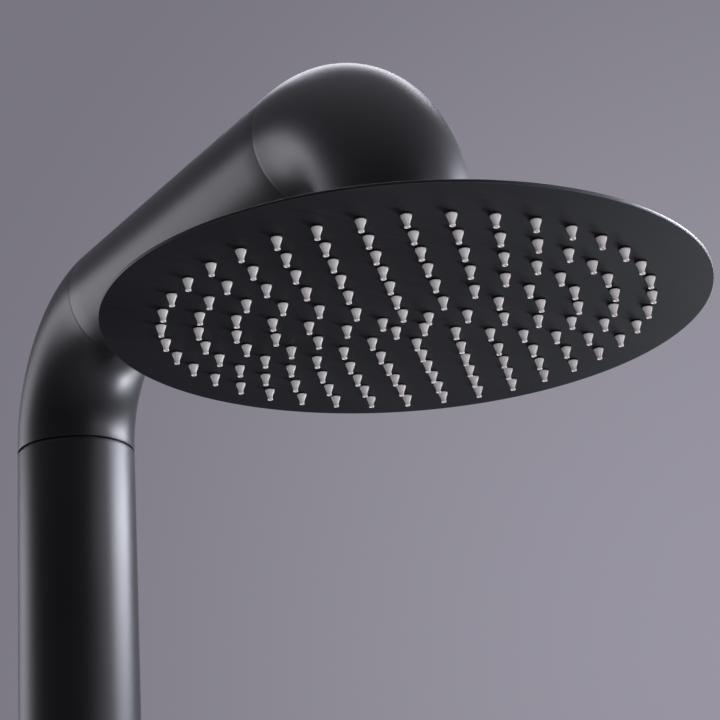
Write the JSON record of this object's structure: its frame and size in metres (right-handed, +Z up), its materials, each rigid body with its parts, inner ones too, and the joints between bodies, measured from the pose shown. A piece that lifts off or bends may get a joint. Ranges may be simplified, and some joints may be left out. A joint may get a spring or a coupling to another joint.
{
  "type": "rainfall shower column",
  "caption": "Freestanding shower column: bent round tube with a swivelling arm, a thin round rain head on a ball joint, a single-lever mixer and a floor flange.",
  "frame": {"origin": "middle of the floor plate's underside, on the column's axis", "axes": "+Z up along the column, the arm and the mixer reach towards -Y, +X to the right seen from the front"},
  "size_m": [0.2, 0.445, 2.2094],
  "materials": {
    "black_coated_tube": "satin",
    "black_coated_head": "satin",
    "grey_silicone": "matte",
    "stainless_steel": "satin",
    "brass": "satin",
    "chromed_brass": "polished",
    "white_acetal": "satin",
    "black_acetal": "matte",
    "seal_rubber": "matte",
    "hose_rubber": "matte",
    "ceramic": "satin"
  },
  "bodies": {
    "column": {"column_tube": "black_coated_tube", "cover_rosette": "black_coated_tube", "mixer_tube": "black_coated_tube", "mixer_dome": "black_coated_tube", "floor_plate": "stainless_steel", "base_socket": "stainless_steel", "base_grub_screws": "stainless_steel", "swivel_stop_pin": "stainless_steel", "hot_supply_pipe": "stainless_steel", "cold_supply_pipe": "stainless_steel", "riser_pipe": "stainless_steel", "inlet_block": "brass", "valve_body": "brass", "cartridge_housing": "brass", "cartridge_nut": "brass", "supply_pipe_nuts": "brass", "riser_nut": "brass", "riser_nipple": "brass", "column_bush": "white_acetal", "check_valves": "white_acetal", "cartridge": "white_acetal", "glide_ring": "black_acetal", "rosette_seal": "seal_rubber", "cartridge_seals": "seal_rubber", "riser_oring": "seal_rubber", "fixed_disc": "ceramic"},
    "arm": {"neck_spigot": "stainless_steel", "spigot_orings": "seal_rubber", "rear_elbow": "black_coated_tube", "arm_tube": "black_coated_tube", "front_elbow": "black_coated_tube", "end_plug": "stainless_steel", "arm_hose": "hose_rubber", "hose_swivel_fitting": "brass", "hose_end_fitting": "brass", "hose_ferrules": "stainless_steel", "ball_nipple": "chromed_brass", "flow_regulator": "white_acetal"},
    "seat_ring": {"ball_seat": "white_acetal"},
    "seal_ring": {"ball_seal": "seal_rubber"},
    "head": {"swivel_nut": "black_coated_head", "head_hub": "brass", "back_plate": "black_coated_head", "face_plate": "black_coated_head", "nozzle_mat": "grey_silicone"},
    "mixer_turn": {"lever_carrier": "white_acetal", "lever_pivot_pin": "stainless_steel"},
    "mixer_lever": {"lever_stem": "stainless_steel", "handle": "black_coated_tube", "lever_rod": "black_coated_tube", "handle_grub_screw": "stainless_steel"},
    "mixer_disc": {"control_disc": "ceramic"}
  },
  "joints": [
    {"name": "arm_swivel", "type": "hinge", "parent": "column", "child": "arm", "pos_m": [0, 0, 2.1308], "axis": [0, 0, 1], "range_deg": [-45, 45]},
    {"name": "head_tilt", "type": "hinge", "parent": "arm", "child": "seat_ring", "pos_m": [0, -0.26, 2.1165], "axis": [1, 0, 0], "range_deg": [-12, 12]},
    {"name": "head_roll", "type": "hinge", "parent": "seat_ring", "child": "seal_ring", "pos_m": [0, -0.26, 2.1165], "axis": [0, 1, 0], "range_deg": [-12, 12]},
    {"name": "head_spin", "type": "hinge", "parent": "seal_ring", "child": "head", "pos_m": [0, -0.26, 2.1165], "axis": [0, 0, 1], "continuous": true},
    {"name": "mixer_temperature", "type": "hinge", "parent": "column", "child": "mixer_turn", "pos_m": [0, -0.058, 1.05], "axis": [0, -1, 0], "range_deg": [-45, 45]},
    {"name": "mixer_flow", "type": "hinge", "parent": "mixer_turn", "child": "mixer_lever", "pos_m": [0, -0.058, 1.05], "axis": [-1, 0, 0], "range_deg": [0, 20]},
    {"name": "control_disc_slide", "type": "slide", "parent": "mixer_turn", "child": "mixer_disc", "axis": [0, 0, -1], "range_m": [0, 0.0047]}
  ],
  "couplings": [
    {"joint": "control_disc_slide", "follows": "mixer_flow", "m_per_rad": 0.013}
  ]
}
